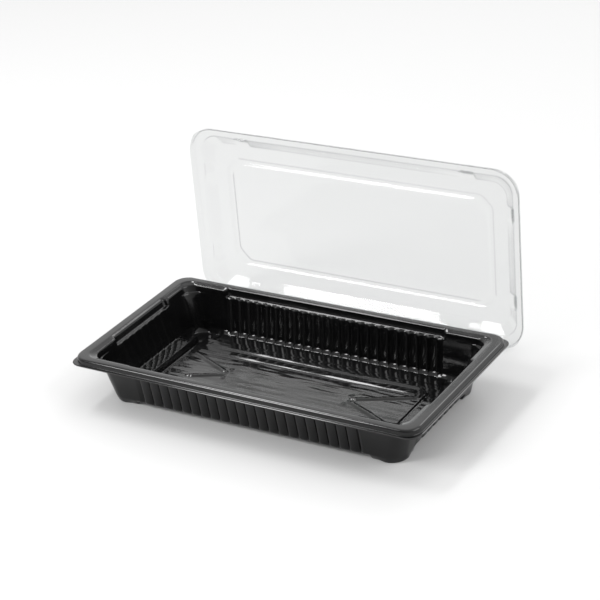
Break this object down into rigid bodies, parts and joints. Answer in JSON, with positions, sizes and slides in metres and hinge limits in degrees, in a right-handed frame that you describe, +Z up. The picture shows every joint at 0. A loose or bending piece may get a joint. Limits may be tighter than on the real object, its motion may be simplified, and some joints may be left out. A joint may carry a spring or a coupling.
{
  "type": "sushi tray with lid",
  "caption": "Empty rectangular takeaway sushi tray in glossy black formed plastic with fluted walls, its clear shallow lid standing on edge behind it.",
  "frame": {"origin": "on the table, under the middle of the bounding box of the tray and the lid together", "axes": "+Z up, +X along the tray's long side, -Y towards the tray's front; the lid stands behind the tray on the +Y side"},
  "size_m": [0.2464, 0.1716, 0.12],
  "materials": {
    "black_plastic": "glossy formed sheet, opaque black",
    "clear_plastic": "glossy formed sheet, clear and colourless"
  },
  "bodies": {
    "root": {"tray": "black_plastic", "lid": "clear_plastic"}
  },
  "joints": []
}
